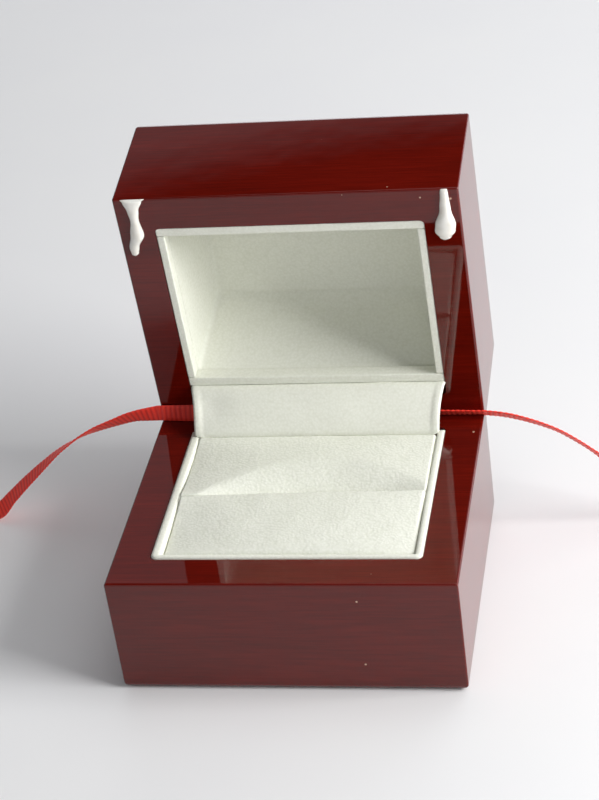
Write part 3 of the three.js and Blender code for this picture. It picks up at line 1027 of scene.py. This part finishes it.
# ------------------------------------------------------------------ hinge cover
@dataclass
class HingeCover:
    """The leatherette flap from the lid's lining to the back of the pad, with turned side edges.

    Its profile (y, z) starts behind the lid's rear strip, and ends tucked down behind the pad.
    """

    profile: tuple[tuple[float, float], ...] = (
        (23.75, 29.75),
        (23.1, 30.12),
        (22.5, 30.2),
        (21.6, 29.65),
        (20.1, 28.0),
        (18.5, 26.0),
        (17.25, 24.15),
        (16.98, 23.2),
        (16.98, 22.4),
        (17.0, 21.6),
    )
    top_half: float = 23.7
    top_shift: float = 0.2
    bottom_half: float = 22.55
    tuck_half: float = 21.4
    tuck_z: float = 23.25
    tuck_from: float = 0.8
    waist: float = 0.3
    thickness: float = 0.5
    hem: float = 1.5
    hem_thickness: float = 0.2
    side_round: float = 0.35
    dent: float = 0.32
    dent_at: tuple[float, float] = (-19.0, 0.4)
    dent_reach: tuple[float, float] = (3.0, 0.2)
    wave: float = 0.1
    belly: float = 0.25
    columns: int = 84
    rows: int = 34

    def line(self) -> list[Vector]:
        """Follow the profile in even steps, from the top down, as (0, y, z) points."""
        return even_curve([(0.0, y, z) for y, z in self.profile], count=self.rows)

    def pushed_in(self, x: float, down: float) -> float:
        """Give the depth of the dent beside the flap's left edge."""
        across = (x - self.dent_at[0]) / self.dent_reach[0]
        along = (down - self.dent_at[1]) / self.dent_reach[1]
        return self.dent * math.exp(-(across**2) - along**2)

    def shape(self, bm: Mesh) -> None:
        """Build the flap as rows of closed sections, thicker at its turned edges."""
        line = self.line()
        loops = []
        for i, centre in enumerate(line):
            along = (line[min(i + 1, self.rows - 1)] - line[max(i - 1, 0)]).normalized()
            outward = Vector((0, along.z, -along.y))
            down = i / (self.rows - 1)
            seen = min(down / self.tuck_from, 1)
            half = mix(self.top_half, self.bottom_half, seen)
            half -= self.waist * math.sin(math.pi * seen)
            half = mix(half, self.tuck_half, smooth(self.tuck_z - centre.z, -0.25, 0.1))
            front, back = [], []
            for u in packed_to_ends(self.columns, 0.4):
                x = mix(-half, half, u)
                inward = half - abs(x)
                x += mix(self.top_shift, 0.0, down)
                wave = self.wave * noise.noise(Vector((x * 0.12, down * 2.0, 4.0)))
                belly = self.belly * math.sin(math.pi * down) ** 2
                middle = centre + outward * (belly + wave - self.pushed_in(x, down))
                turned = smooth(inward, self.hem, self.hem - 0.3) * math.sin(math.pi * down)
                ease = 1 - edge_drop(inward, self.side_round) / self.side_round
                off = (self.thickness / 2 + self.hem_thickness * turned) * ease + 0.02
                front.append((middle + outward * off + Vector((x, 0, 0))) * MM)
                back.append((middle - outward * off + Vector((x, 0, 0))) * MM)
            loops.append(front + list(reversed(back)))
        loft(bm, loops)

    def build(self) -> Piece:
        """Build the flap across the hinge, give it the lining's finish, and hide the CAD cover."""
        obj = mesh_object("hinge_cover_flap", self.shape)
        obj.data.materials.append(LINING_LEATHERETTE.material())
        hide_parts("hinge_cover")
        line = self.line()
        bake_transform(obj)
        return obj


# ------------------------------------------------------------------ ribbon
class Side(Enum):
    """The two sides that the ribbon leaves from."""

    LEFT = "left"
    RIGHT = "right"


LEFT_ROUTE = (
    (-30.3, 22.9, 24.6),
    (-35.3, 22.9, 23.9),
    (-39.2, 22.9, 22.6),
    (-42.9, 22.9, 21.2),
    (-46.2, 22.9, 19.6),
    (-48.4, 22.9, 18.2),
    (-51.6, 22.9, 15.9),
    (-56.1, 22.9, 11.9),
    (-59.3, 22.9, 8.9),
    (-62.5, 22.9, 5.7),
    (-65.5, 22.95, 2.6),
    (-68.5, 23.3, 1.7),
    (-73.5, 24.2, 1.65),
    (-80, 25.5, 1.65),
    (-87, 25.2, 1.65),
    (-93, 22.0, 1.65),
    (-95.5, 15.5, 1.65),
    (-93, 8.9, 1.65),
    (-86, 6.0, 1.65),
    (-79.6, 8.8, 1.65),
    (-77.5, 15, 1.65),
)
RIGHT_ROUTE = (
    (30.3, 22.9, 23.55),
    (33.0, 22.9, 23.2),
    (35.9, 22.9, 22.5),
    (40.0, 22.9, 21.0),
    (43.9, 22.9, 19.0),
    (48.9, 22.9, 15.2),
    (53.6, 22.9, 10.8),
    (58.2, 23.0, 6.4),
    (62.0, 23.3, 3.2),
    (66.0, 23.8, 1.8),
    (73.0, 25.0, 1.65),
    (81, 25.6, 1.65),
    (88, 22.6, 1.65),
    (91, 15.5, 1.65),
    (88, 8.6, 1.65),
    (81, 5.8, 1.65),
    (74.8, 8.8, 1.65),
    (73, 15, 1.65),
)

# The angle of the ribbon's width, in degrees from the horizontal, at places along X. Below 146
# degrees its upper face is seen from the front, and above that its lower face.
LEAN = (
    (-70.0, 240.0),
    (-65.8, 233.0),
    (-62.5, 212.0),
    (-59.3, 204.0),
    (-56.1, 195.5),
    (-53.1, 185.0),
    (-51.6, 178.0),
    (-48.4, 165.0),
    (-46.2, 152.0),
    (-42.9, 137.0),
    (-39.2, 127.0),
    (-35.3, 114.0),
    (-30.3, 88.0),
    (-24.0, 74.0),
    (-12.0, 90.0),
    (12.0, 122.0),
    (22.6, 130.0),
    (30.3, 132.5),
    (35.9, 133.6),
    (40.0, 136.5),
    (43.9, 139.8),
    (48.9, 142.0),
    (56.0, 132.0),
    (70.0, 80.0),
)


@dataclass
class Ribbon:
    """One length of grosgrain ribbon: a stretch in the hinge line and a free tail at each side."""

    width: float = 3.2
    thickness: float = 0.22
    rib_pitch: float = 0.93
    rib_height: float = 0.07
    samples_per_rib: int = 8
    overlap: float = 0.15
    pressed: float = 0.03
    pressed_below_rim: float = 0.12

    @property
    def step(self) -> float:
        """Return the distance between two sections of the ribbon."""
        return self.rib_pitch / self.samples_per_rib

    def lean(self, x: float) -> float:
        """Look up the angle of the ribbon's width, in degrees, smoothly between the places."""
        places = [place for place, _ in LEAN]
        if x <= places[0] or x >= places[-1]:
            return LEAN[0][1] if x <= places[0] else LEAN[-1][1]
        k = max(i for i, place in enumerate(places) if place <= x)
        (x0, a), (x1, b) = LEAN[k], LEAN[k + 1]
        return mix(a, b, (x - x0) / (x1 - x0))

    def strip(self, name: str, centres: Sequence[Vector]) -> Piece:
        """Build a ribbed strip along a line.

        Args:
            name: the piece's name.
            centres: the ribbon's middle line, in millimetres, one step apart.

        Returns:
            The strip, with its rib height stored on each vertex.
        """
        across = (-1.0, -0.96, -0.6, -0.2, 0.2, 0.6, 0.96, 1.0)
        up = Vector((0, 0, 1))
        to_back = 1.0
        loops, heights = [], []
        for i, point in enumerate(centres):
            before, after = centres[max(i - 1, 0)], centres[min(i + 1, len(centres) - 1)]
            along = (after - before).normalized()
            level = up.cross(along).normalized()
            if i == 0:
                to_back = math.copysign(1, level.y)
            rise = (up - along * along.z).normalized()
            angle = math.radians(self.lean(point.x))
            wide = level * (to_back * math.cos(angle)) + rise * math.sin(angle)
            face = along.cross(wide)
            rib = 0.5 + 0.5 * math.cos(2 * math.pi * i / self.samples_per_rib)
            half = self.thickness / 2 + self.rib_height * (rib - 0.5)
            section = [(w, half * (0.4 if abs(w) == 1 else 1.0)) for w in across]
            front = [point + wide * (w * self.width / 2) + face * t for w, t in section]
            back = [point + wide * (w * self.width / 2) - face * t for w, t in reversed(section)]
            loops.append([p * MM for p in front + back])
            heights.extend([rib] * len(loops[-1]))
        obj = mesh_object(name, lambda bm: loft(bm, loops))
        attribute = obj.data.attributes.new("rib_height", "FLOAT", "POINT")
        attribute.data.foreach_set("value", heights)
        return obj

    def through(self) -> Piece:
        """Build the stretch in the hinge line."""
        ends = (Vector(LEFT_ROUTE[0]), Vector(RIGHT_ROUTE[0]))
        count = int((ends[1] - ends[0]).length / self.step)
        centres = [ends[0].lerp(ends[1], i / count) for i in range(count + 1)]
        centres[0].x -= self.overlap
        centres[-1].x += self.overlap
        obj = self.strip("ribbon_in_hinge", centres)
        dress(obj, GROSGRAIN, "base", ["ribbon_through"])
        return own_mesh(obj)

    def tail(self, side: Side) -> Piece:
        """Build one free tail, from the side of the box to its curl on the table."""
        route = LEFT_ROUTE if side is Side.LEFT else RIGHT_ROUTE
        centres = even_curve(route, step=self.step)
        obj = self.strip(f"ribbon_tail_{side.value}", centres)
        dress(obj, GROSGRAIN, "base", [f"ribbon_{side.value}_tail"])
        return obj

    def build(self) -> list[Piece]:
        """Build the three stretches."""
        return [self.tail(Side.LEFT), self.tail(Side.RIGHT), self.through()]


# ------------------------------------------------------------------ glue
@dataclass
class GlueRun:
    """A run of glue that was squeezed out at the lid's front edge, ran down the rim and dried.

    Stations are (y, left x, right x, height of the bead), from the rim's front edge down.
    """

    node: str
    stations: tuple[tuple[float, float, float, float], ...]
    facets: int = 14

    def build(self) -> Piece:
        """Build and dress the bead."""
        obj = mesh_object(self.node + "_bead", self.shape)
        add_modifier(obj, "SUBSURF", levels=1, render_levels=1)
        apply_modifiers(obj)
        return dress(obj, GLUE, "lid", [self.node])

    def shape(self, bm: Mesh) -> None:
        """Loft half-ellipses from station to station, with smooth widths between them."""
        loops = []
        per = 5
        last = len(self.stations) - 1
        for i in range(per * last + 1):
            k, t = divmod(i, per)
            k, t = (k, t / per) if k < last else (last - 1, 1.0)
            eased = smooth(t, 0.0, 1.0)
            a, b = self.stations[k], self.stations[k + 1]
            y = mix(a[0], b[0], t)
            x0, x1, high = (mix(p, q, eased) for p, q in zip(a[1:], b[1:]))
            loop = []
            for j in range(self.facets):
                angle = 2 * math.pi * j / self.facets
                x = mix(x0, x1, (1 + math.cos(angle)) / 2)
                up = high * math.sin(angle) if math.sin(angle) > 0 else -0.12
                loop.append(Half.LID.place(x, y, up))
            loops.append(loop)
        loft(bm, loops)


GLUE_LEFT = GlueRun(
    "glue_run_left",
    (
        (-26.15, -28.7, -24.1, 0.12),
        (-25.7, -28.35, -24.7, 0.5),
        (-23.8, -27.75, -25.6, 0.65),
        (-21.8, -27.5, -25.9, 0.7),
        (-18.6, -28.1, -25.5, 0.95),
        (-15.9, -28.75, -26.9, 0.8),
        (-14.7, -28.6, -27.2, 0.65),
        (-14.2, -28.1, -27.7, 0.3),
    ),
)
GLUE_RIGHT = GlueRun(
    "glue_run_right",
    (
        (-26.15, 26.9, 28.1, 0.15),
        (-25.3, 26.75, 28.2, 0.5),
        (-21.8, 26.35, 28.4, 0.75),
        (-18.9, 25.3, 29.0, 1.0),
        (-17.4, 25.1, 28.8, 1.0),
        (-16.2, 25.8, 28.0, 0.7),
        (-15.7, 26.4, 27.2, 0.3),
    ),
)


# ------------------------------------------------------------------ hardware
@dataclass
class HiddenHardware:
    """The hinge's metal and the cards under the linings, which keep their CAD shapes."""

    def build(self) -> None:
        """Give each remaining CAD node its finish."""
        for name, obj in frame["nodes"].items():
            if obj.hide_render:
                continue
            words = {"screw": BRASS, "board": CARD}
            finish = next((kind for word, kind in words.items() if word in name), STEEL)
            for index in range(len(obj.data.materials)):
                obj.data.materials[index] = finish.material()
            LOG.info("%s: %s", name, finish.name)


# ------------------------------------------------------------------ studio
@dataclass
class Studio:
    """The table, the soft lights and the camera.

    Each light has a name, a place and a size in metres, a power in watts and a tint.
    """

    camera_at: Point = (76.53, -313.77, 249.97)
    camera_turn: Point = (56.927, 6.957, 8.859)
    lens: float = 101.461
    ceiling: tuple[float, float] = (0.643, 0.662)
    lamps: tuple[tuple[str, Point, tuple[float, float], float, str], ...] = (
        ("key", (0.50, -0.10, 0.30), (0.32, 0.32), 4.5, "#ffffff"),
        ("front", (0.0, -0.90, 0.45), (0.9, 0.6), 0.3, "#ffffff"),
        ("back", (0.10, 0.90, 0.25), (1.2, 0.3), 3.0, "#fafbff"),
        ("top", (0.22, 0.22, 0.95), (0.8, 0.8), 2.7, "#ffffff"),
    )

    def build(self) -> None:
        """Make everything round the box, and show its light as a plain camera would."""
        bpy.context.scene.view_settings.view_transform = "Standard"
        self.camera()
        self.table()
        self.world()
        for lamp in self.lamps:
            self.light(*lamp)

    def camera(self) -> None:
        """Put the camera above and in front of the box, a little to its right."""
        data = bpy.data.cameras.new("camera")
        data.lens = self.lens
        data.sensor_width = 36.0
        data.clip_start, data.clip_end = 0.01, 20.0
        camera = bpy.data.objects.new("camera", data)
        camera.location = Vector(self.camera_at) * MM
        camera.rotation_euler = [math.radians(a) for a in self.camera_turn]
        bpy.context.scene.collection.objects.link(camera)
        bpy.context.scene.camera = camera

    def table(self) -> None:
        """Lay a wide pale table top under the box."""
        reach = 2.5

        def top(bm: Mesh) -> None:
            """Fill one square at the height of the table."""
            corners = ((-reach, -reach), (reach, -reach), (reach, reach), (-reach, reach))
            bm.faces.new([bm.verts.new((x, y, 0.0)) for x, y in corners])

        obj = mesh_object("table", top)
        obj.data.materials.append(TABLE_TOP.material())

    def world(self) -> None:
        """Surround the box with a room: bright up to a ceiling line, and dim above it."""
        world = bpy.data.worlds.new("room")
        bpy.context.scene.world = world
        world.use_nodes = True
        tree = world.node_tree
        tree.nodes.clear()
        place = add_node(tree, "ShaderNodeTexCoord")
        parts = add_node(tree, "ShaderNodeSeparateXYZ", {"Vector": place.outputs["Generated"]})
        ramp = add_node(tree, "ShaderNodeValToRGB", {"Fac": parts.outputs["Z"]})
        elements = ramp.color_ramp.elements
        for element, height, tone in zip(elements, self.ceiling, ("#d6d8dc", "#26272a")):
            element.position = height
            element.color = linear(tone)
        glow = {"Color": ramp.outputs["Color"], "Strength": 0.5}
        background = add_node(tree, "ShaderNodeBackground", glow)
        output = tree.nodes.new("ShaderNodeOutputWorld")
        tree.links.new(background.outputs["Background"], output.inputs["Surface"])

    def light(
        self, name: str, at: Point, size: tuple[float, float], watts: float, tint: str
    ) -> None:
        """Hang one soft rectangular light that faces the box, with its place in metres."""
        data = bpy.data.lights.new(name, "AREA")
        data.shape = "RECTANGLE"
        data.size, data.size_y = size
        data.energy = watts
        data.color = linear(tint)[:3]
        lamp = bpy.data.objects.new(name, data)
        lamp.visible_camera = False
        lamp.location = at
        aim = Vector((0, 0, 0.03)) - Vector(at)
        lamp.rotation_euler = aim.to_track_quat("-Z", "Y").to_euler()
        bpy.context.scene.collection.objects.link(lamp)


def main() -> None:
    """Build the box and its studio."""
    logging.basicConfig(level=logging.INFO, format="%(name)s: %(message)s")
    Studio().build()
    Ribbon().build()
    WoodHalf(Half.BASE, "base_shell", BASE_HEIGHT, 6.6, 6.9, 5.0).build()
    WoodHalf(Half.LID, "lid_shell", LID_HEIGHT, 6.44, 6.44, 4.0).build()
    BaseCollar().build()
    RingPad().build()
    LidLining().build()
    HingeCover().build()
    GLUE_LEFT.build()
    GLUE_RIGHT.build()
    HiddenHardware().build()
    bpy.context.view_layer.update()


if __name__ == "__main__":
    main()
